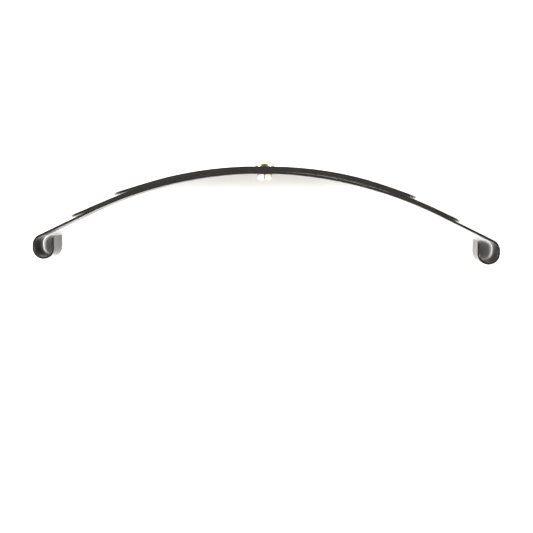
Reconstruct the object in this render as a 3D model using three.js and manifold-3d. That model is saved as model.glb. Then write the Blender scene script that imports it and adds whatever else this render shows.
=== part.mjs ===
// A three-leaf spring for a one-tenth scale truck. Three strips of spring steel lie on each other, held by
// one small domed bolt and a hex nut through the middle. The longest strip, the main leaf, is rolled down
// at both ends into an open eye that takes the hanger's bush; the other two end plainly, one short of the other.
//
// Frame, in millimetres: +X along the spring, +Y across its width, +Z up through the arch. The origin is on
// the bolt's axis, at the level of the lowest line of the two eyes.
//
// Steel strip bends all along its length, which rigid pieces can't do, so each leaf is made as a clamped middle
// and two arms. A strip held at the bolt and loaded at its eye moves that eye as if it were hinged a third of
// the way out, so the arms meet the middle there. They turn about a line across the top of the pack, so that
// their end faces only open as the arch flattens.
import * as THREE from "three";
import { mergeVertices } from "three/addons/utils/BufferGeometryUtils.js";
import Module from "manifold-3d";

// Leaf strip
const leafWidth = 6.5;
const leafThickness = 0.5;
const leafGap = 0.03; // film of paint between two leaves
const cornerRadius = 0.9; // rounded corners of the plain leaf ends, seen from above

// Line of the main leaf, from the bolt outwards. All lengths run along the strip.
const seatHalf = 2.6; // flat under the axle pad, on each side of the bolt
const seatBendRadius = 25;
const seatBendTurn = 3; // degrees
const archRadius = 86.5;
const archTurn = 22.8; // degrees
const tailLength = 12.1; // straight strip between the arch and the eye

// Eye rolled at each end: down over a shoulder, half a turn round the bush, and up again to an open toe
const eyeShoulderRadius = 2.15;
const eyeSideLength = 0.65;
const eyeRadius = 2.1;
const toeLength = 2.55;

// Reach of the two upper leaves from the bolt, along the strip
const shortLeafReach = 32.1;
const secondLeafTail = 10.3; // how much further the second leaf reaches than the short one
const tipLift = 0.2; // how far the tip of an upper leaf stands off the leaf below it
const liftRun = 9; // length over which it does so

// Where the arms meet the clamped middle
const hingeReach = 15; // from the bolt, along the strip
const armGap = 0.06;

// Bolt and nut, 2 mm thread
const threadRadius = 1.0;
const boltHoleClearance = 0.1;
const threadClearance = 0.03;
const seatingGap = 0.02; // under the head and over the nut
const headRadius = 2.05;
const headHeight = 1.4;
const headRim = 0.3; // upright edge of the head below its dome
const headMargin = 0.12; // from the head's edge to the part of the seat that the axle pad rests on
const socketAcross = 1.3;
const socketDepth = 0.8;
const nutAcross = 3.0;
const nutHeight = 1.2;
const nutChamfer = 0.14;
const boltEndChamfer = 0.18;

// Facets
const archStep = 2.4; // mm of strip to a facet along the arch
const eyeStep = 12; // degrees to a facet round the eye
const roundSides = 40;
const domeSteps = 8; // facets from the head's edge to its middle
const cornerSides = 4;
const sameReach = 1e-6; // mm; two cross edges closer than this are one
const samePoint = 1e-5; // mm; two corners closer than this are one
const boreOverrun = 1; // how far a cutting cylinder passes both faces

const rad = THREE.MathUtils.degToRad;
const shoulderTurn = 90 - seatBendTurn - archTurn;
const secondLeafReach = shortLeafReach + secondLeafTail;
const leafPitch = leafThickness + leafGap;

// The strip's middle line as runs of constant curvature: length, total turn in degrees, and facets.
const bend = (radius, turn, facets) => ({
  length: radius * rad(turn),
  turn,
  facets: Math.ceil(facets),
});
const runs = [
  { length: seatHalf, turn: 0, facets: 1 },
  bend(seatBendRadius, seatBendTurn, 1),
  bend(archRadius, archTurn, (archRadius * rad(archTurn)) / archStep),
  { length: tailLength, turn: 0, facets: 1 },
  bend(eyeShoulderRadius, shoulderTurn, shoulderTurn / eyeStep),
  { length: eyeSideLength, turn: 0, facets: 1 },
  bend(eyeRadius, 180, 180 / eyeStep),
  { length: toeLength, turn: 0, facets: 1 },
];
const stripLength = runs.reduce((sum, run) => sum + run.length, 0);

// Point and heading of the middle line at a distance from the bolt; z is measured from the seat.
function middleLine(reach) {
  let x = 0;
  let z = 0;
  let heading = 0;
  let left = reach;
  for (const run of runs) {
    const length = Math.min(left, run.length);
    const turn = rad(run.turn) * (length / run.length);
    const chord = turn ? (2 * Math.sin(turn / 2) * length) / turn : length;
    x += chord * Math.cos(heading + turn / 2);
    z -= chord * Math.sin(heading + turn / 2);
    heading += turn;
    left -= length;
    if (left <= sameReach) break;
  }
  return { x, z, heading };
}

const leaves = [
  { name: "main_leaf", reach: stripLength },
  { name: "second_leaf", reach: secondLeafReach },
  { name: "short_leaf", reach: shortLeafReach },
];

// Height of a leaf's lower face over the main leaf's middle line, at a distance from the bolt.
function lowerFace(leaf, reach) {
  let height = leaf * leafPitch - leafThickness / 2;
  for (const upper of leaves.slice(1, leaf + 1)) {
    const along = (reach - (upper.reach - liftRun)) / liftRun;
    height += tipLift * Math.max(0, along) ** 2;
  }
  return height;
}

// Distances from the bolt at which every leaf has an edge across it, so that the leaves' facets stay parallel.
// One lies just past the bolt head, so that the flat on which an axle pad rests is a face clear of the head.
function facetReaches() {
  const reaches = [0, headRadius + headMargin, hingeReach, shortLeafReach, secondLeafReach];
  let start = 0;
  for (const run of runs) {
    for (let i = 1; i <= run.facets; i++) reaches.push(start + (run.length * i) / run.facets);
    start += run.length;
  }
  reaches.sort((a, b) => a - b);
  return reaches.filter((reach, i) => i === 0 || reach - reaches[i - 1] > sameReach);
}
const reaches = facetReaches();

// A point at a height over the middle line, square to the strip.
function overLine(reach, height) {
  const { x, z, heading } = middleLine(reach);
  return new THREE.Vector2(x + height * Math.sin(heading), z + height * Math.cos(heading));
}

const lowest = Math.min(...reaches.map((reach) => overLine(reach, leafThickness / 2).y));
const seatHeight = -lowest; // of the main leaf's middle line at the bolt

const wasm = await Module();
wasm.setup();

// A closed geometry as a solid that can be cut.
function solid(geometry) {
  const bare = geometry.clone();
  bare.deleteAttribute("normal");
  bare.deleteAttribute("uv");
  const merged = mergeVertices(bare, samePoint);
  return new wasm.Manifold(
    new wasm.Mesh({
      numProp: 3,
      vertProperties: merged.attributes.position.array,
      triVerts: new Uint32Array(merged.index.array),
    }),
  );
}

// A solid as a geometry for a mesh.
function geometryOf(made) {
  const { vertProperties, triVerts, numProp } = made.getMesh();
  const geometry = new THREE.BufferGeometry();
  const positions = new Float32Array((vertProperties.length / numProp) * 3);
  for (let i = 0; i < positions.length / 3; i++)
    positions.set(vertProperties.slice(i * numProp, i * numProp + 3), i * 3);
  geometry.setAttribute("position", new THREE.BufferAttribute(positions, 3));
  geometry.setIndex(new THREE.BufferAttribute(triVerts, 1));
  const flat = geometry.toNonIndexed();
  flat.computeVertexNormals();
  return flat;
}

// Strip between two distances from the bolt, as the side outline's points on one side of the bolt.
function stripSide(from, to, leaf, side) {
  const inside = reaches.filter((reach) => reach > from + sameReach && reach < to - sameReach);
  const at = [from, ...inside, to];
  const put = (reach, height) => {
    const point = overLine(reach, height);
    return new THREE.Vector2(side * point.x, point.y + seatHeight);
  };
  return {
    top: at.map((reach) => put(reach, lowerFace(leaf, reach) + leafThickness)),
    under: at.map((reach) => put(reach, lowerFace(leaf, reach))),
  };
}

// Side outline drawn in X and Z, made as wide as the strip.
function stripFrom(outline) {
  const geometry = new THREE.ExtrudeGeometry(new THREE.Shape(outline), {
    depth: leafWidth,
    bevelEnabled: false,
  });
  geometry.rotateX(Math.PI / 2);
  geometry.translate(0, leafWidth / 2, 0);
  return solid(geometry);
}

function uprightCylinder(radius, low, high, sides) {
  const geometry = new THREE.CylinderGeometry(radius, radius, high - low, sides);
  geometry.rotateX(Math.PI / 2);
  geometry.translate(0, 0, (low + high) / 2);
  return geometry;
}

// Clamped middle of a leaf, with its bolt hole.
function middleGeometry(leaf) {
  const right = stripSide(0, hingeReach - armGap / 2, leaf, 1);
  const left = stripSide(0, hingeReach - armGap / 2, leaf, -1);
  const top = [...left.top.slice(1).reverse(), ...right.top];
  const under = [...left.under.slice(1).reverse(), ...right.under];
  const hole = uprightCylinder(threadRadius + boltHoleClearance, 0, 2 * seatHeight, roundSides);
  return geometryOf(stripFrom([...top, ...under.reverse()]).subtract(solid(hole)));
}

// Everything that a strip with rounded corners can fill, as seen from above: it ends at the given X.
function roundedPlan(endX) {
  const half = leafWidth / 2;
  const radius = Math.min(cornerRadius, half);
  const plan = new THREE.Shape();
  plan.moveTo(0, -half);
  plan.lineTo(endX - radius, -half);
  plan.absarc(endX - radius, radius - half, radius, -Math.PI / 2, 0, false);
  plan.absarc(endX - radius, half - radius, radius, 0, Math.PI / 2, false);
  plan.lineTo(0, half);
  const geometry = new THREE.ExtrudeGeometry(plan, {
    depth: 2 * seatHeight,
    bevelEnabled: false,
    curveSegments: cornerSides,
  });
  return solid(geometry);
}

// Arm of a leaf that runs from the clamp to a distance from the bolt.
function armGeometry(leaf, reach, side) {
  const { top, under } = stripSide(hingeReach + armGap / 2, reach, leaf, side);
  const arm = stripFrom([...top, ...under.reverse()]);
  if (leaf === 0) return geometryOf(arm);
  const endX = Math.max(...top.map((point) => side * point.x));
  const plan = roundedPlan(endX);
  return geometryOf(arm.intersect(side > 0 ? plan : plan.mirror([1, 0, 0])));
}

// Bolt: domed head with a hex socket on a plain shank the size of the thread.
function boltGeometry(headBase, end) {
  const dome = headHeight - headRim;
  const domeRadius = (headRadius ** 2 + dome ** 2) / (2 * dome);
  const socketCorner = socketAcross / Math.sqrt(3);
  const half = Math.asin(headRadius / domeRadius);
  const profile = [
    new THREE.Vector2(0, end),
    new THREE.Vector2(threadRadius - boltEndChamfer, end),
    new THREE.Vector2(threadRadius, end + boltEndChamfer),
    new THREE.Vector2(threadRadius, headBase),
    new THREE.Vector2(headRadius, headBase),
  ];
  for (let i = 0; i <= domeSteps; i++) {
    const angle = half * (1 - i / domeSteps);
    const radius = i === domeSteps ? 0 : domeRadius * Math.sin(angle);
    profile.push(
      new THREE.Vector2(radius, headBase + headHeight - domeRadius * (1 - Math.cos(angle))),
    );
  }
  const turned = new THREE.LatheGeometry(profile, roundSides);
  turned.rotateX(Math.PI / 2);
  const headTop = headBase + headHeight;
  const socket = uprightCylinder(socketCorner, headTop - socketDepth, headTop + boreOverrun, 6);
  return geometryOf(solid(turned).subtract(solid(socket)));
}

// Hex nut with both faces chamfered, one corner towards -Y.
function nutGeometry(low) {
  const corner = nutAcross / Math.sqrt(3);
  const flatRadius = nutAcross / 2;
  const high = low + nutHeight;
  const rim = [
    new THREE.Vector2(0, low),
    new THREE.Vector2(flatRadius, low),
    new THREE.Vector2(corner, low + nutChamfer),
    new THREE.Vector2(corner, high - nutChamfer),
    new THREE.Vector2(flatRadius, high),
    new THREE.Vector2(0, high),
  ];
  const turned = new THREE.LatheGeometry(rim, roundSides);
  turned.rotateX(Math.PI / 2);
  const hex = solid(uprightCylinder(corner, low, high, 6));
  const boreRadius = threadRadius + threadClearance;
  const bore = uprightCylinder(boreRadius, low - boreOverrun, high + boreOverrun, roundSides);
  return geometryOf(hex.intersect(solid(turned)).subtract(solid(bore)));
}

const blackSteel = new THREE.MeshStandardMaterial({ color: 0x17181b, roughness: 0.38, metalness: 0.6 });
const nickelPlate = new THREE.MeshStandardMaterial({ color: 0xb9b3a0, roughness: 0.25, metalness: 1 });

const spring = new THREE.Group();
function add(name, geometry, material) {
  const mesh = new THREE.Mesh(geometry, material);
  mesh.name = name;
  spring.add(mesh);
}

leaves.forEach(({ name, reach }, leaf) => {
  add(name + "_middle", middleGeometry(leaf), blackSteel);
  add(name + "_left_arm", armGeometry(leaf, reach, -1), blackSteel);
  add(name + "_right_arm", armGeometry(leaf, reach, 1), blackSteel);
});

const packUnder = seatHeight - leafThickness / 2;
const packTop = packUnder + (leaves.length - 1) * leafPitch + leafThickness;
const nutLow = packUnder - seatingGap - nutHeight;
add("centre_bolt", boltGeometry(packTop + seatingGap, nutLow), nickelPlate);
add("centre_nut", nutGeometry(nutLow), nickelPlate);

export default spring;
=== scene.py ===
# A three-leaf spring for a one-tenth scale truck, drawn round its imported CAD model. Three strips of black
# spring steel lie on each other, the longest rolled into an open eye at each end, and a nickel-plated bolt
# and nut hold them together. Metres; +X along the spring, +Y across the leaves, +Z up through the arch. The
# origin is on the bolt's axis, at the level of the eyes' lowest line.
import math

import bmesh
import bpy
from mathutils import Matrix, Vector


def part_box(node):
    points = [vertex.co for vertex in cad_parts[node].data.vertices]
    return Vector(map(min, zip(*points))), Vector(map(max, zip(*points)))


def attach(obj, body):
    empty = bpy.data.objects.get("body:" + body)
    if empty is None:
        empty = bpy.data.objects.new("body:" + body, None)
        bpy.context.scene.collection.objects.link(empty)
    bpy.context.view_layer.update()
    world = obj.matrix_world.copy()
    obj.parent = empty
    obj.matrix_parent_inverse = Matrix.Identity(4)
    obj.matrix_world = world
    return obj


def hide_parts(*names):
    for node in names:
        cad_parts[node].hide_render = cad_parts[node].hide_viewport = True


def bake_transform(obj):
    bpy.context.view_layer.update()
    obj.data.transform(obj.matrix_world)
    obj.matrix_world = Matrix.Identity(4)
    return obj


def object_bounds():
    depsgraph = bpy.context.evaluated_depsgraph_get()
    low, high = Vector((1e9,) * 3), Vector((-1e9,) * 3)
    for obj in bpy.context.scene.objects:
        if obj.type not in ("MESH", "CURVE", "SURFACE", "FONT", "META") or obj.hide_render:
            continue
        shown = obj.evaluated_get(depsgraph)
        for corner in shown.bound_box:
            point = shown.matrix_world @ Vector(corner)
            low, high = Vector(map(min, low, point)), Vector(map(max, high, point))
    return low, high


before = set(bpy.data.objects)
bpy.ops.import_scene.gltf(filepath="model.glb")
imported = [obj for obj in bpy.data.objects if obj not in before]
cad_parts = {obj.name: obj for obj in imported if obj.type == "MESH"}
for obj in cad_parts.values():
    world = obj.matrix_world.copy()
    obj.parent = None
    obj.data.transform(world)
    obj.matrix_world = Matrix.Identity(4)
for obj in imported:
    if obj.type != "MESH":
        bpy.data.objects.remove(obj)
cad_low, cad_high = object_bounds()

# --------------------------------------------------------------------------------------------------------
# Main leaf
# The longest strip of spring steel: sheared, arched over a former, rolled down at each end round a mandrel
# into an open eye, then hardened and tempered. It bends from the seat outwards, so it is drawn as two halves
# that meet flush at the bolt, each bending between the clamped middle and its own arm.
mm = 0.001
leaf_thickness = 0.5 * mm
paint_film = 0.03 * mm  # between two leaves
leaf_pitch = leaf_thickness + paint_film
middle_low, middle_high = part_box("main_leaf_middle")
leaf_width = middle_high.y - middle_low.y
pack_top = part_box("short_leaf_middle")[1].z
seat_height = pack_top - 2 * leaf_pitch - leaf_thickness / 2  # of the main leaf's middle line at the bolt
bolt_hole_radius = 1.1 * mm

# The line that the middle of the strip follows, from the bolt outwards, as lengths and the turn in each.
seat_half = 2.6 * mm
seat_turn = 3.0
seat_bend_radius = 25 * mm
arch_turn = 22.8
arch_radius = 86.5 * mm
tail_length = 12.1 * mm
shoulder_turn = 90 - seat_turn - arch_turn
shoulder_radius = 2.15 * mm
eye_side = 0.65 * mm
eye_radius = 2.1 * mm
toe_length = 2.55 * mm
line_runs = (
    (seat_half, 0),
    (seat_bend_radius * math.radians(seat_turn), seat_turn),
    (arch_radius * math.radians(arch_turn), arch_turn),
    (tail_length, 0),
    (shoulder_radius * math.radians(shoulder_turn), shoulder_turn),
    (eye_side, 0),
    (eye_radius * math.pi, 180),
    (toe_length, 0),
)
strip_half = sum(length for length, _ in line_runs)


def walk_line(step, turn_step):
    """Distance from the bolt, X and Z of points along one side of the line, close enough for its bends."""
    reach, x, z, heading = 0.0, 0.0, seat_height, 0.0
    points = [(reach, x, z)]
    for length, turn in line_runs:
        count = max(1, math.ceil(length / step), math.ceil(turn / turn_step))
        part, bend = length / count, math.radians(turn) / count
        chord = 2 * part * math.sin(bend / 2) / bend if bend else part
        for _ in range(count):
            x += chord * math.cos(heading + bend / 2)
            z -= chord * math.sin(heading + bend / 2)
            heading += bend
            reach += part
            points.append((reach, x, z))
    return points


line_points = walk_line(step=0.2 * mm, turn_step=2)
strip_line_curve = bpy.data.curves.new("strip_line", "CURVE")
strip_line_curve.dimensions = "3D"
spline = strip_line_curve.splines.new("POLY")
both_sides = [(-x, 0, z, 1) for _, x, z in reversed(line_points[1:])]
both_sides += [(x, 0, z, 1) for _, x, z in line_points]
spline.points.add(len(both_sides) - 1)
for point, place in zip(spline.points, both_sides):
    point.co = place
strip_line = bpy.data.objects.new("strip_line", strip_line_curve)
bpy.context.scene.collection.objects.link(strip_line)


def body_from(bm, name):
    """An object of the drawn shape, with its faces turned outwards."""
    bmesh.ops.recalc_face_normals(bm, faces=bm.faces)
    mesh = bpy.data.meshes.new(name)
    bm.to_mesh(mesh)
    bm.free()
    body = bpy.data.objects.new(name, mesh)
    bpy.context.scene.collection.objects.link(body)
    return body


leaf_edge_round = 0.07 * mm
edge_steps = 4
corner_steps = 6
edge_support = 0.02 * mm  # a thin strip beside each rounded edge that keeps the shading of the flat even


def cut_blank(name, side, reach, corner):
    """Half a leaf lying flat, as it leaves the shear: X is the distance from the bolt and Z the thickness.

    Each layer of the plate is the same outline, drawn in by the rounding of the edge. A vertex holds how far
    it is into that rounding and into the sheared end, for the paint.
    """
    half_width, low = leaf_width / 2, -leaf_thickness / 2
    lower = [(leaf_edge_round + edge_support, low, 0, 0)]
    for i in range(edge_steps + 1):
        a = math.radians(90 * i / edge_steps)
        inset, rise = leaf_edge_round * (1 - math.sin(a)), leaf_edge_round * (1 - math.cos(a))
        lower.append((inset, low + rise, math.sin(2 * a), a > 0))
    lower.append((0, low + leaf_edge_round + edge_support, 0, 1))
    layers = lower + [(inset, -z, worn, sheared) for inset, z, worn, sheared in reversed(lower)]
    reaches = [r for r, _, _ in walk_line(step=0.5 * mm, turn_step=4) if r < reach - corner - edge_support]
    corner_turns = [math.radians(90 - 90 * i / corner_steps) for i in range(corner_steps + 1)]

    bm = bmesh.new()
    edge_wear = bm.verts.layers.float.new("edge_wear")
    cut_end = bm.verts.layers.float.new("cut_end")
    rings = []
    for inset, z, worn, sheared in layers:
        near = [(r, half_width - inset, 0) for r in reaches]
        for a in corner_turns:
            radius = corner - inset
            x = reach - corner + radius * math.cos(a)
            near.append((x, half_width - corner + radius * math.sin(a), sheared))
        ring = []
        for x, y, end in near + [(x, -y, end) for x, y, end in reversed(near)]:
            vert = bm.verts.new((side * x, y, z))
            vert[edge_wear], vert[cut_end] = worn, end
            ring.append(vert)
        rings.append(ring)
    last = len(rings[0]) - 1
    for below, above in zip(rings, rings[1:]):
        for i in range(last):
            bm.faces.new((below[i], below[i + 1], above[i + 1], above[i]))
    for ring in (rings[0], rings[-1]):
        for i in range(last // 2):
            bm.faces.new((ring[i], ring[i + 1], ring[last - i - 1], ring[last - i]))
    bm.faces.new([ring[0] for ring in rings] + [ring[last] for ring in reversed(rings)])
    return body_from(bm, name)


def add_node(tree, kind, inputs=None, **settings):
    """A node with its settings, its sockets' values, and links from the sockets given in place of a value."""
    node = tree.nodes.new(kind)
    for setting, value in settings.items():
        setattr(node, setting, value)
    for socket, value in (inputs or {}).items():
        if isinstance(value, bpy.types.NodeSocket):
            tree.links.new(value, node.inputs[socket])
        else:
            node.inputs[socket].default_value = value
    return node


def new_shape_tree(name, inputs):
    """An empty tree that takes a mesh and the named inputs and gives a mesh, with its input node."""
    tree = bpy.data.node_groups.new(name, "GeometryNodeTree")
    tree.interface.new_socket("Geometry", in_out="INPUT", socket_type="NodeSocketGeometry")
    for socket, kind in inputs.items():
        tree.interface.new_socket(socket, in_out="INPUT", socket_type="NodeSocket" + kind)
    tree.interface.new_socket("Geometry", in_out="OUTPUT", socket_type="NodeSocketGeometry")
    return tree, add_node(tree, "NodeGroupInput").outputs


def end_shape_tree(tree, given, geometry):
    """The last nodes of a shape: whatever it holds as plain mesh, in its finish."""
    real = add_node(tree, "GeometryNodeRealizeInstances", {"Geometry": geometry})
    coated = add_node(
        tree, "GeometryNodeSetMaterial", {"Geometry": real.outputs[0], "Material": given["Finish"]}
    )
    add_node(tree, "NodeGroupOutput", {"Geometry": coated.outputs[0]})


sliver = 0.0002 * mm  # scraps of face narrower than this, which a cut can leave, are taken out
corner_angle = math.radians(28)  # a fold sharper than this is a real corner


def shape(obj, tree, values):
    """Runs a tree on an object and keeps the result as its plain mesh, smooth but for its real corners."""
    modifier = obj.modifiers.new(tree.name, "NODES")
    modifier.node_group = tree
    for item in tree.interface.items_tree:
        if item.in_out == "INPUT" and item.name in values:
            modifier[item.identifier] = values[item.name]
    evaluated = obj.evaluated_get(bpy.context.evaluated_depsgraph_get())
    mesh = bpy.data.meshes.new_from_object(evaluated)
    obj.modifiers.remove(modifier)
    obj.data = mesh
    bm = bmesh.new()
    bm.from_mesh(mesh)
    bmesh.ops.dissolve_degenerate(bm, dist=sliver, edges=bm.edges)
    bm.to_mesh(mesh)
    bm.free()
    mesh.shade_smooth()
    mesh.set_sharp_from_angle(angle=corner_angle)


# Rolling the flat strip: each point goes to its place along the line, square to it at its height. An upper
# leaf bows a little off the leaf below between the bolt and its tip, and its tip springs open. The bolt hole
# is cut last.
hole_sides = 48
punch_length = 4 * seat_height  # centred on the origin, so half of it reaches well past the pack
roll_strip, given = new_shape_tree(
    "roll_strip",
    {
        "Line": "Object",
        "Height over line": "Float",
        "Bow": "Float",
        "Bow length": "Float",
        "Lift starts at": "Float",
        "Lift length": "Float",
        "Tip lift": "Float",
        "Hole radius": "Float",
        "Finish": "Material",
    },
)
position = add_node(roll_strip, "GeometryNodeInputPosition").outputs[0]
kept = add_node(
    roll_strip,
    "GeometryNodeStoreNamedAttribute",
    {"Geometry": given["Geometry"], "Name": "flat_strip", "Value": position},
    data_type="FLOAT_VECTOR",
)
flat = add_node(roll_strip, "ShaderNodeSeparateXYZ", {0: position}).outputs
line = add_node(roll_strip, "GeometryNodeObjectInfo", {"Object": given["Line"]}).outputs["Geometry"]
line_length = add_node(roll_strip, "GeometryNodeCurveLength", {0: line}).outputs[0]
along = add_node(
    roll_strip, "ShaderNodeMath", {0: line_length, 1: 0.5, 2: flat["X"]}, operation="MULTIPLY_ADD"
)
on_line = add_node(
    roll_strip, "GeometryNodeSampleCurve", {"Curves": line, "Length": along.outputs[0]}, mode="LENGTH"
).outputs
square = add_node(
    roll_strip, "ShaderNodeVectorMath", {0: on_line["Tangent"], 1: (0, 1, 0)}, operation="CROSS_PRODUCT"
)
distance = add_node(roll_strip, "ShaderNodeMath", {0: flat["X"]}, operation="ABSOLUTE").outputs[0]
past = add_node(
    roll_strip, "ShaderNodeMath", {0: distance, 1: given["Lift starts at"]}, operation="SUBTRACT"
)
share = add_node(
    roll_strip, "ShaderNodeMath", {0: past.outputs[0], 1: given["Lift length"]}, operation="DIVIDE"
)
share = add_node(roll_strip, "ShaderNodeMath", {0: share.outputs[0], 1: 0.0}, operation="MAXIMUM").outputs[0]
squared = add_node(roll_strip, "ShaderNodeMath", {0: share, 1: share}, operation="MULTIPLY").outputs[0]
height = add_node(
    roll_strip, "ShaderNodeMath", {0: flat["Z"], 1: given["Height over line"]}, operation="ADD"
)
height = add_node(
    roll_strip,
    "ShaderNodeMath",
    {0: squared, 1: given["Tip lift"], 2: height.outputs[0]},
    operation="MULTIPLY_ADD",
)
bow_turn = add_node(
    roll_strip, "ShaderNodeMath", {0: distance, 1: given["Bow length"]}, operation="DIVIDE"
)
bow_turn = add_node(
    roll_strip, "ShaderNodeMath", {0: bow_turn.outputs[0], 1: math.pi}, operation="MULTIPLY"
)
bow = add_node(roll_strip, "ShaderNodeMath", {0: bow_turn.outputs[0]}, operation="SINE")
bow = add_node(roll_strip, "ShaderNodeMath", {0: bow.outputs[0], 1: 0.0}, operation="MAXIMUM").outputs[0]
bow = add_node(roll_strip, "ShaderNodeMath", {0: bow, 1: bow}, operation="MULTIPLY").outputs[0]
height = add_node(
    roll_strip, "ShaderNodeMath", {0: bow, 1: given["Bow"], 2: height.outputs[0]}, operation="MULTIPLY_ADD"
)
across = add_node(roll_strip, "ShaderNodeCombineXYZ", {"Y": flat["Y"]}).outputs[0]
place = add_node(roll_strip, "ShaderNodeVectorMath", {0: on_line["Position"], 1: across}, operation="ADD")
place = add_node(
    roll_strip,
    "ShaderNodeVectorMath",
    {0: square.outputs[0], 1: height.outputs[0], 2: place.outputs[0]},
    operation="MULTIPLY_ADD",
)
rolled = add_node(
    roll_strip, "GeometryNodeSetPosition", {"Geometry": kept.outputs[0], "Position": place.outputs[0]}
)
punch = add_node(
    roll_strip,
    "GeometryNodeMeshCylinder",
    {"Vertices": hole_sides, "Radius": given["Hole radius"], "Depth": punch_length},
)
pierced = add_node(
    roll_strip,
    "GeometryNodeMeshBoolean",
    {"Mesh 1": rolled.outputs[0], "Mesh 2": punch.outputs["Mesh"]},
    operation="DIFFERENCE",
    solver="EXACT",
)
end_shape_tree(roll_strip, given, pierced.outputs["Mesh"])


def paint(hex_code):
    """An sRGB colour as the linear one that a shader takes."""
    channels = [int(hex_code[i : i + 2], 16) / 255 for i in (1, 3, 5)]
    return [c / 12.92 if c <= 0.04045 else ((c + 0.055) / 1.055) ** 2.4 for c in channels] + [1.0]


def new_finish(name):
    """A material with nothing in its node tree yet, and that tree."""
    finish = bpy.data.materials.new(name)
    finish.use_nodes = True
    finish.node_tree.nodes.clear()
    return finish, finish.node_tree


# Stoved black enamel on spring steel: a thin sprayed coat, semi-gloss and slightly orange-peeled, that has
# run thin on the rounded edges and been knocked off the sheared ends, where the bare steel shows.
stoved_black, nodes = new_finish("stoved_black_enamel")
strip_place = add_node(nodes, "ShaderNodeAttribute", attribute_name="flat_strip").outputs["Vector"]
on_edge = add_node(nodes, "ShaderNodeAttribute", attribute_name="edge_wear").outputs["Fac"]
on_end = add_node(nodes, "ShaderNodeAttribute", attribute_name="cut_end").outputs["Fac"]
peel_size = 0.3 * mm
peel_depth = 0.01 * mm
peel = add_node(
    nodes, "ShaderNodeTexNoise", {"Vector": strip_place, "Scale": 1 / peel_size, "Detail": 2.0}
)
cloud_size = 5 * mm
cloud = add_node(
    nodes, "ShaderNodeTexNoise", {"Vector": strip_place, "Scale": 1 / cloud_size, "Detail": 3.0}
)
chip_size = 0.7 * mm
chips = add_node(
    nodes,
    "ShaderNodeTexNoise",
    {"Vector": strip_place, "Scale": 1 / chip_size, "Detail": 4.0, "Roughness": 0.65},
)
edge_chips = add_node(
    nodes, "ShaderNodeMapRange", {"Value": chips.outputs[0], "From Min": 0.68, "From Max": 0.74}
).outputs[0]
edge_chips = add_node(nodes, "ShaderNodeMath", {0: edge_chips, 1: on_edge}, operation="MULTIPLY").outputs[0]
end_chips = add_node(
    nodes, "ShaderNodeMapRange", {"Value": chips.outputs[0], "From Min": 0.46, "From Max": 0.56}
).outputs[0]
end_chips = add_node(nodes, "ShaderNodeMath", {0: end_chips, 1: on_end}, operation="MULTIPLY").outputs[0]
bare = add_node(nodes, "ShaderNodeMath", {0: edge_chips, 1: end_chips}, operation="MAXIMUM").outputs[0]
enamel_colour = add_node(
    nodes,
    "ShaderNodeMix",
    {"Factor": cloud.outputs[0], "A": paint("#141312"), "B": paint("#201e1d")},
    data_type="RGBA",
)
steel_colour = add_node(
    nodes,
    "ShaderNodeMix",
    {"Factor": bare, "A": enamel_colour.outputs["Result"], "B": paint("#827e70")},
    data_type="RGBA",
)
enamel_roughness = add_node(
    nodes, "ShaderNodeMapRange", {"Value": cloud.outputs[0], "To Min": 0.14, "To Max": 0.26}
).outputs[0]
peel_bump = add_node(
    nodes, "ShaderNodeBump", {"Height": peel.outputs[0], "Strength": 0.15, "Distance": peel_depth}
)
enamel = add_node(
    nodes,
    "ShaderNodeBsdfPrincipled",
    {
        "Base Color": steel_colour.outputs["Result"],
        "Metallic": bare,
        "Roughness": enamel_roughness,
        "Normal": peel_bump.outputs[0],
        "IOR": 1.5,
    },
)
add_node(nodes, "ShaderNodeOutputMaterial", {"Surface": enamel.outputs[0]})

sides = ((-1, "left"), (1, "right"))
bow_length = 34 * mm


def make_leaf_half(leaf, side, side_name, reach, corner, level, bow, lift, lift_run):
    """One half of a leaf at its level over the main leaf, bent to the line and painted, in place of its
    middle and arm from the CAD model.
    """
    half = cut_blank(f"{leaf}_{side_name}", side, reach, corner)
    shape(
        half,
        roll_strip,
        {
            "Line": strip_line,
            "Height over line": level * leaf_pitch,
            "Bow": bow,
            "Bow length": bow_length,
            "Lift starts at": reach - lift_run,
            "Lift length": lift_run,
            "Tip lift": lift,
            "Hole radius": bolt_hole_radius,
            "Finish": stoved_black,
        },
    )
    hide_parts(f"{leaf}_middle", f"{leaf}_{side_name}_arm")
    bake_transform(half)


toe_corner = 0.2 * mm
for side, side_name in sides:
    make_leaf_half(
        "main_leaf", side, side_name, strip_half, toe_corner, level=0, bow=0.0, lift=0.0, lift_run=toe_length
    )

# --------------------------------------------------------------------------------------------------------
# Second leaf and short leaf
# Two plain strips laid on the main leaf, each shorter than the one under it. Their corners are rounded off in
# the shear, and their tips spring open by a hair's breadth, more at the left end than at the right.
short_reach = 32.1 * mm
second_leaf_step = 10.3 * mm
second_reach = short_reach + second_leaf_step
leaf_corner = 0.9 * mm
bows = {"left": 0.1 * mm, "right": 0.2 * mm}
tip_lifts = {"left": 0.28 * mm, "right": 0.1 * mm}
tip_lift_run = 8 * mm
upper_leaves = (("second_leaf", second_reach), ("short_leaf", short_reach))
for level, (leaf, reach) in enumerate(upper_leaves, start=1):
    for side, side_name in sides:
        bow, lift = bows[side_name], tip_lifts[side_name]
        make_leaf_half(leaf, side, side_name, reach, leaf_corner, level, bow, lift, tip_lift_run)
bpy.data.objects.remove(strip_line)

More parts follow.
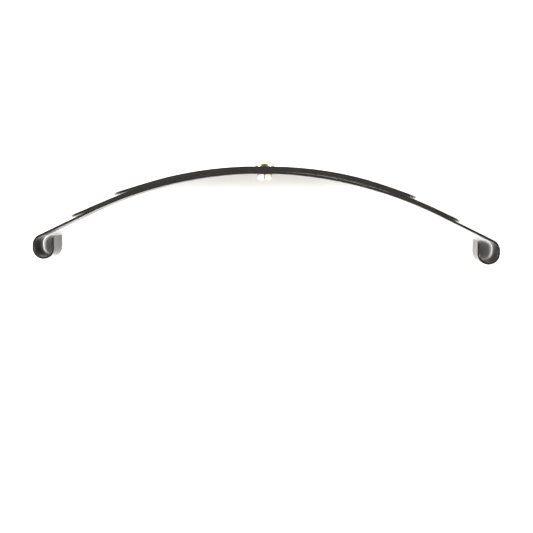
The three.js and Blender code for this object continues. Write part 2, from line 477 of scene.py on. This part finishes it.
# --------------------------------------------------------------------------------------------------------
# Centre bolt
# A machine screw with a 2 mm thread and a domed head with a hex socket, turned and cold-headed in steel and
# nickel plated. It goes down through the three leaves, and its end comes flush with the nut.
bolt_low, bolt_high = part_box("centre_bolt")
head_radius = bolt_high.x
head_gap = 0.02 * mm  # the film of paint under the head
head_base = pack_top + head_gap
head_rim = 0.3 * mm
rim_round = 0.07 * mm
dome_height = 1.15 * mm
dome_steps = 16
dome_sides = 96
flat_top_round = 0.05 * mm
thread_radius = 1.0 * mm
thread_pitch = 0.4 * mm
thread_depth = 0.2 * mm
thread_levels = 8  # cross edges to one turn of the thread
thread_crest, thread_root = 0.08, 0.42  # where the flank leaves each, in turns from the middle of the crest
plain_shank = 0.2 * mm  # under the head
socket_across = 1.3 * mm
socket_depth = 0.8 * mm
bolt_end_chamfer = 0.18 * mm


def turned(name, profile, sides_round):
    """A body of revolution about Z from its profile, which starts and ends on the axis."""
    bm = bmesh.new()
    poles = [bm.verts.new((0, 0, z)) for _, z in (profile[0], profile[-1])]
    rings = []
    for radius, z in profile[1:-1]:
        turns = [2 * math.pi * i / sides_round for i in range(sides_round)]
        rings.append([bm.verts.new((radius * math.cos(t), radius * math.sin(t), z)) for t in turns])
    for below, above in zip(rings, rings[1:]):
        for i in range(sides_round):
            j = (i + 1) % sides_round
            bm.faces.new((below[i], below[j], above[j], above[i]))
    for pole, ring in zip(poles, (rings[0], rings[-1])):
        for i in range(sides_round):
            bm.faces.new((pole, ring[i], ring[(i + 1) % sides_round]))
    return body_from(bm, name)


def shank_profile(radius, low, high, chamfer):
    """The side of a plain shank, with cross edges close enough to carry the thread."""
    start = low + chamfer
    count = math.ceil((high - start) / (thread_pitch / thread_levels))
    rise = [(radius, start + (high - start) * i / count) for i in range(count + 1)]
    return [(0, low), (radius - chamfer, low)] + rise


rim_top = head_base + head_rim
profile = shank_profile(thread_radius, bolt_low.z, head_base, bolt_end_chamfer)
profile += [(head_radius - rim_round, head_base), (head_radius, head_base + rim_round)]
profile.append((head_radius, rim_top))
dome_top = math.asin((bolt_high.z - rim_top) / dome_height)  # where the flat top cuts the quarter ellipse
for i in range(1, dome_steps + 1):
    angle = dome_top * i / dome_steps
    profile.append((head_radius * math.cos(angle), rim_top + dome_height * math.sin(angle)))
profile += [(profile[-1][0] - flat_top_round, bolt_high.z), (0, bolt_high.z)]
bolt = turned("domed_bolt", profile, dome_sides)

# The thread is rolled into the shank: along the helix the surface dips between flat crests, and it fades
# out under the head. The socket is pressed into the head last.
surface_tolerance = 0.01 * mm
roll_thread, given = new_shape_tree(
    "roll_thread",
    {
        "Pitch": "Float",
        "Depth": "Float",
        "Shank radius": "Float",
        "Thread ends at": "Float",
        "Socket across corners": "Float",
        "Socket floor": "Float",
        "Finish": "Material",
    },
)
position = add_node(roll_thread, "GeometryNodeInputPosition").outputs[0]
axes = add_node(roll_thread, "ShaderNodeSeparateXYZ", {0: position}).outputs
turn = add_node(roll_thread, "ShaderNodeMath", {0: axes["Y"], 1: axes["X"]}, operation="ARCTAN2")
turn = add_node(roll_thread, "ShaderNodeMath", {0: turn.outputs[0], 1: 2 * math.pi}, operation="DIVIDE")
climb = add_node(roll_thread, "ShaderNodeMath", {0: axes["Z"], 1: given["Pitch"]}, operation="DIVIDE")
phase = add_node(
    roll_thread, "ShaderNodeMath", {0: climb.outputs[0], 1: turn.outputs[0]}, operation="SUBTRACT"
)
wave = add_node(roll_thread, "ShaderNodeMath", {0: phase.outputs[0], 1: 0.5}, operation="PINGPONG")
dip = add_node(
    roll_thread,
    "ShaderNodeMapRange",
    {"Value": wave.outputs[0], "From Min": thread_crest, "From Max": thread_root},
)
runout = add_node(
    roll_thread, "ShaderNodeMath", {0: given["Thread ends at"], 1: axes["Z"]}, operation="SUBTRACT"
)
runout = add_node(
    roll_thread,
    "ShaderNodeMath",
    {0: runout.outputs[0], 1: given["Pitch"]},
    operation="DIVIDE",
    use_clamp=True,
)
depth = add_node(
    roll_thread, "ShaderNodeMath", {0: dip.outputs[0], 1: given["Depth"]}, operation="MULTIPLY"
)
depth = add_node(
    roll_thread, "ShaderNodeMath", {0: depth.outputs[0], 1: runout.outputs[0]}, operation="MULTIPLY"
)
left_over = add_node(
    roll_thread, "ShaderNodeMath", {0: given["Shank radius"], 1: depth.outputs[0]}, operation="SUBTRACT"
)
narrowing = add_node(
    roll_thread, "ShaderNodeMath", {0: left_over.outputs[0], 1: given["Shank radius"]}, operation="DIVIDE"
)
narrowed = add_node(
    roll_thread,
    "ShaderNodeCombineXYZ",
    {"X": narrowing.outputs[0], "Y": narrowing.outputs[0], "Z": 1.0},
)
threaded_place = add_node(
    roll_thread, "ShaderNodeVectorMath", {0: position, 1: narrowed.outputs[0]}, operation="MULTIPLY"
)
across_axis = add_node(
    roll_thread, "ShaderNodeVectorMath", {0: position, 1: (1, 1, 0)}, operation="MULTIPLY"
)
off_axis = add_node(roll_thread, "ShaderNodeVectorMath", {0: across_axis.outputs[0]}, operation="LENGTH")
on_surface = add_node(
    roll_thread,
    "FunctionNodeCompare",
    {0: off_axis.outputs["Value"], 1: given["Shank radius"], "Epsilon": surface_tolerance},
    operation="EQUAL",
)
threaded = add_node(
    roll_thread,
    "GeometryNodeSetPosition",
    {
        "Geometry": given["Geometry"],
        "Selection": on_surface.outputs[0],
        "Position": threaded_place.outputs[0],
    },
)
socket_radius = add_node(
    roll_thread, "ShaderNodeMath", {0: given["Socket across corners"], 1: 0.5}, operation="MULTIPLY"
)
broach = add_node(
    roll_thread,
    "GeometryNodeMeshCylinder",
    {"Vertices": 6, "Radius": socket_radius.outputs[0], "Depth": 2 * socket_depth},
)
broach_place = add_node(
    roll_thread, "ShaderNodeMath", {0: given["Socket floor"], 1: socket_depth}, operation="ADD"
)
broach_place = add_node(roll_thread, "ShaderNodeCombineXYZ", {"Z": broach_place.outputs[0]})
broach = add_node(
    roll_thread,
    "GeometryNodeTransform",
    {"Geometry": broach.outputs["Mesh"], "Translation": broach_place.outputs[0]},
)
broached = add_node(
    roll_thread,
    "GeometryNodeMeshBoolean",
    {"Mesh 1": threaded.outputs[0], "Mesh 2": broach.outputs[0]},
    operation="DIFFERENCE",
    solver="EXACT",
)
end_shape_tree(roll_thread, given, broached.outputs["Mesh"])

# Bright nickel plate over steel: a warm white metal, nearly mirror smooth, with the faint haze and fine
# scuffs that tumbling leaves on small fasteners.
bright_nickel, nodes = new_finish("bright_nickel_plate")
fastener_place = add_node(nodes, "ShaderNodeTexCoord").outputs["Object"]
haze_size = 0.8 * mm
haze = add_node(
    nodes, "ShaderNodeTexNoise", {"Vector": fastener_place, "Scale": 1 / haze_size, "Detail": 4.0}
)
scuff_size = 0.12 * mm
scuff_depth = 0.01 * mm
scuffs = add_node(
    nodes, "ShaderNodeTexNoise", {"Vector": fastener_place, "Scale": 1 / scuff_size, "Detail": 3.0}
)
nickel_colour = add_node(
    nodes,
    "ShaderNodeMix",
    {"Factor": haze.outputs[0], "A": paint("#9f9784"), "B": paint("#b8b09d")},
    data_type="RGBA",
)
nickel_roughness = add_node(
    nodes, "ShaderNodeMapRange", {"Value": haze.outputs[0], "To Min": 0.12, "To Max": 0.28}
)
scuff_bump = add_node(
    nodes, "ShaderNodeBump", {"Height": scuffs.outputs[0], "Strength": 0.15, "Distance": scuff_depth}
)
nickel = add_node(
    nodes,
    "ShaderNodeBsdfPrincipled",
    {
        "Base Color": nickel_colour.outputs["Result"],
        "Metallic": 1.0,
        "Roughness": nickel_roughness.outputs[0],
        "Normal": scuff_bump.outputs[0],
    },
)
add_node(nodes, "ShaderNodeOutputMaterial", {"Surface": nickel.outputs[0]})

shape(
    bolt,
    roll_thread,
    {
        "Pitch": thread_pitch,
        "Depth": thread_depth,
        "Shank radius": thread_radius,
        "Thread ends at": head_base - plain_shank,
        "Socket across corners": 2 * socket_across / math.sqrt(3),
        "Socket floor": bolt_high.z - socket_depth,
        "Finish": bright_nickel,
    },
)
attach(bolt, "clamped_middle")
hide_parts("centre_bolt")

# --------------------------------------------------------------------------------------------------------
# Nut
# A small hex nut of nickel-plated steel under the main leaf, pressed from bar and tapped. Both faces are
# chamfered to a circle, so each flat ends in a shallow arc, and its corners are a little rounded.
nut_low, nut_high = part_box("centre_nut")
nut_flat = nut_high.x  # from the axis to a flat
nut_corner = 2 * nut_flat / math.sqrt(3)
nut_chamfer = 0.18 * mm
nut_corner_round = 0.25 * mm
thread_clearance = 0.03 * mm
tap_margin = 0.5 * mm  # that the tap runs past both faces
tap_sides = 48
arc_steps = 4
corner_support = 0.02 * mm  # a thin strip beside each rounded corner that keeps the shading of the flat even
face_inset = 0.02 * mm


def towards(turn):
    """A step of one in the direction of that turn about the axis."""
    return Vector((math.cos(turn), math.sin(turn)))


bm = bmesh.new()
outline = []
for k in range(6):
    facing = math.radians(-90 + 60 * k)
    centre = towards(facing) * (nut_corner - 2 * nut_corner_round / math.sqrt(3))
    turns = [facing + math.radians(-30 + 60 * i / arc_steps) for i in range(arc_steps + 1)]
    arc = [centre + nut_corner_round * towards(turn) for turn in turns]
    run_in = arc[0] - corner_support * towards(facing + math.radians(60))  # straight on along the flats
    run_out = arc[-1] - corner_support * towards(facing - math.radians(60))
    outline += [run_in, *arc, run_out]
rows = [[bm.verts.new((x, y, z)) for x, y in outline] for z in (nut_low.z, nut_high.z)]
bm.faces.new(rows[0])
bm.faces.new(rows[1])
for i in range(len(outline)):
    j = (i + 1) % len(outline)
    bm.faces.new((rows[0][i], rows[0][j], rows[1][j], rows[1][i]))
nut = body_from(bm, "hex_nut")

# The facing cut is a double cone that reaches a little past both faces, and what is inside it stays.
face_radius = nut_flat - face_inset
chamfer_slope = (nut_corner - face_radius) / nut_chamfer  # gain in radius to depth under the face
outer = face_radius + 2 * nut_chamfer * chamfer_slope
inner = face_radius - chamfer_slope * corner_support
facing_cut = turned(
    "nut_facing_cut",
    [
        (0, nut_low.z - corner_support),
        (inner, nut_low.z - corner_support),
        (outer, nut_low.z + 2 * nut_chamfer),
        (outer, nut_high.z - 2 * nut_chamfer),
        (inner, nut_high.z + corner_support),
        (0, nut_high.z + corner_support),
    ],
    dome_sides,
)
tap_radius = thread_radius + thread_clearance
tap_low, tap_high = nut_low.z - tap_margin, nut_high.z + tap_margin
tap_profile = shank_profile(tap_radius, tap_low, tap_high, bolt_end_chamfer)
tap = turned("nut_tap", tap_profile + [(0, tap_high)], tap_sides)
far_above = 1.0  # the tap has no plain end and no socket, so both are put well clear of it
shape(
    tap,
    roll_thread,
    {
        "Pitch": thread_pitch,
        "Depth": thread_depth,
        "Shank radius": tap_radius,
        "Thread ends at": far_above,
        "Socket across corners": 0.1 * mm,
        "Socket floor": far_above,
        "Finish": bright_nickel,
    },
)
press_nut, given = new_shape_tree(
    "press_nut", {"Facing cut": "Object", "Tap": "Object", "Finish": "Material"}
)
limit = add_node(press_nut, "GeometryNodeObjectInfo", {"Object": given["Facing cut"]})
faced = add_node(
    press_nut,
    "GeometryNodeMeshBoolean",
    {"Mesh 2": limit.outputs["Geometry"]},
    operation="INTERSECT",
    solver="EXACT",
)
press_nut.links.new(given["Geometry"], faced.inputs["Mesh 2"])
thread_tool = add_node(press_nut, "GeometryNodeObjectInfo", {"Object": given["Tap"]})
tapped = add_node(
    press_nut,
    "GeometryNodeMeshBoolean",
    {"Mesh 1": faced.outputs["Mesh"], "Mesh 2": thread_tool.outputs["Geometry"]},
    operation="DIFFERENCE",
    solver="EXACT",
)
end_shape_tree(press_nut, given, tapped.outputs["Mesh"])
shape(nut, press_nut, {"Facing cut": facing_cut, "Tap": tap, "Finish": bright_nickel})
smallest_flat = 0.5 * mm * mm  # every face of the nut larger than this is one of its plane faces
for polygon in nut.data.polygons:
    polygon.use_smooth = polygon.area < smallest_flat
for tool in (facing_cut, tap):
    bpy.data.objects.remove(tool)
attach(nut, "clamped_middle")
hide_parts("centre_nut")

# --------------------------------------------------------------------------------------------------------
# Table
# A sheet of matt white card that the spring lies on, on its side, so it stands upright behind it here. It
# shows from the spring's side only, so that the spring can be looked at from behind as well.
table_gap = 0.25 * mm
table_size = 2.0
table_mesh = bpy.data.meshes.new("white_table")
table_y = cad_high.y + table_gap
corner_signs = ((-1, -1), (1, -1), (1, 1), (-1, 1))
table_corners = [(i * table_size / 2, table_y, j * table_size / 2) for i, j in corner_signs]
table_mesh.from_pydata(table_corners, [], [(0, 1, 2, 3)])
table = bpy.data.objects.new("white_table", table_mesh)
bpy.context.scene.collection.objects.link(table)
white_card, nodes = new_finish("white_card")
card_front = add_node(nodes, "ShaderNodeBsdfDiffuse", {"Color": paint("#f4f3f2")})
card_back = add_node(nodes, "ShaderNodeBsdfTransparent")
card_face = add_node(nodes, "ShaderNodeNewGeometry").outputs["Backfacing"]
card = add_node(
    nodes, "ShaderNodeMixShader", {0: card_face, 1: card_front.outputs[0], 2: card_back.outputs[0]}
)
add_node(nodes, "ShaderNodeOutputMaterial", {"Surface": card.outputs[0]})
table_mesh.materials.append(white_card)

# --------------------------------------------------------------------------------------------------------
# Light and camera
# A white light tent, lit strongly from its sides and dim round the opening that the camera looks through,
# with a soft box low down on the left and a weaker one on the right. What shows behind the spring is plain
# white.
tent_opening, tent_sides = math.radians(20), math.radians(60)  # off the line towards the camera
opening_light, side_light = 0.2, 3.0
world = bpy.data.worlds.new("light_tent")
bpy.context.scene.world = world
world.use_nodes = True
tent = world.node_tree
tent.nodes.clear()
direction = add_node(tent, "ShaderNodeTexCoord").outputs["Generated"]
off_opening = add_node(
    tent, "ShaderNodeVectorMath", {0: direction, 1: (0, -1, 0)}, operation="DOT_PRODUCT"
)
tent_light = add_node(
    tent,
    "ShaderNodeMapRange",
    {
        "Value": off_opening.outputs["Value"],
        "From Min": math.cos(tent_opening),
        "From Max": math.cos(tent_sides),
        "To Min": opening_light,
        "To Max": side_light,
    },
    interpolation_type="SMOOTHSTEP",
)
cloth = add_node(
    tent, "ShaderNodeBackground", {"Color": paint("#fffdf9"), "Strength": tent_light.outputs[0]}
)
plain_white = add_node(tent, "ShaderNodeBackground", {"Color": paint("#ffffff"), "Strength": 1.0})
seen = add_node(tent, "ShaderNodeLightPath").outputs["Is Camera Ray"]
tent_mix = add_node(
    tent, "ShaderNodeMixShader", {0: seen, 1: cloth.outputs[0], 2: plain_white.outputs[0]}
)
add_node(tent, "ShaderNodeOutputWorld", {"Surface": tent_mix.outputs[0]})

spring_middle = (cad_low + cad_high) / 2


def add_soft_light(name, place, size, power):
    """A square soft box that faces the middle of the spring."""
    lamp = bpy.data.lights.new(name, "AREA")
    lamp.size = size
    lamp.energy = power
    light = bpy.data.objects.new(name, lamp)
    light.location = place
    light.rotation_euler = (spring_middle - Vector(place)).to_track_quat("-Z", "Y").to_euler()
    bpy.context.scene.collection.objects.link(light)


soft_box_size = 0.14
soft_box_reach, soft_box_front, soft_box_height = 0.50, -0.16, 0.10
key_place = (-soft_box_reach, soft_box_front, soft_box_height)
fill_place = (soft_box_reach, soft_box_front, soft_box_height)
add_soft_light("key_from_left", key_place, soft_box_size, power=7.0)
add_soft_light("fill_from_right", fill_place, soft_box_size, power=5.0)

camera_place = Vector((11.3, -204.0, 17.5)) * mm
camera_turn = math.radians(3.02)  # to the left
camera_dip = math.radians(5.25)  # below the level
camera_roll = math.radians(0.49)
camera_lens, film_width = 64.6, 36.0  # in millimetres, as a lens is named
nearest_seen = 1 * mm
camera_data = bpy.data.cameras.new("camera")
camera_data.lens = camera_lens
camera_data.sensor_width = film_width
camera_data.clip_start = nearest_seen
camera = bpy.data.objects.new("camera", camera_data)
camera.matrix_world = (
    Matrix.Translation(camera_place)
    @ Matrix.Rotation(camera_turn, 4, "Z")
    @ Matrix.Rotation(math.pi / 2 - camera_dip, 4, "X")
    @ Matrix.Rotation(camera_roll, 4, "Z")
)
bpy.context.scene.collection.objects.link(camera)
bpy.context.scene.camera = camera
bpy.context.scene.view_settings.view_transform = "Standard"
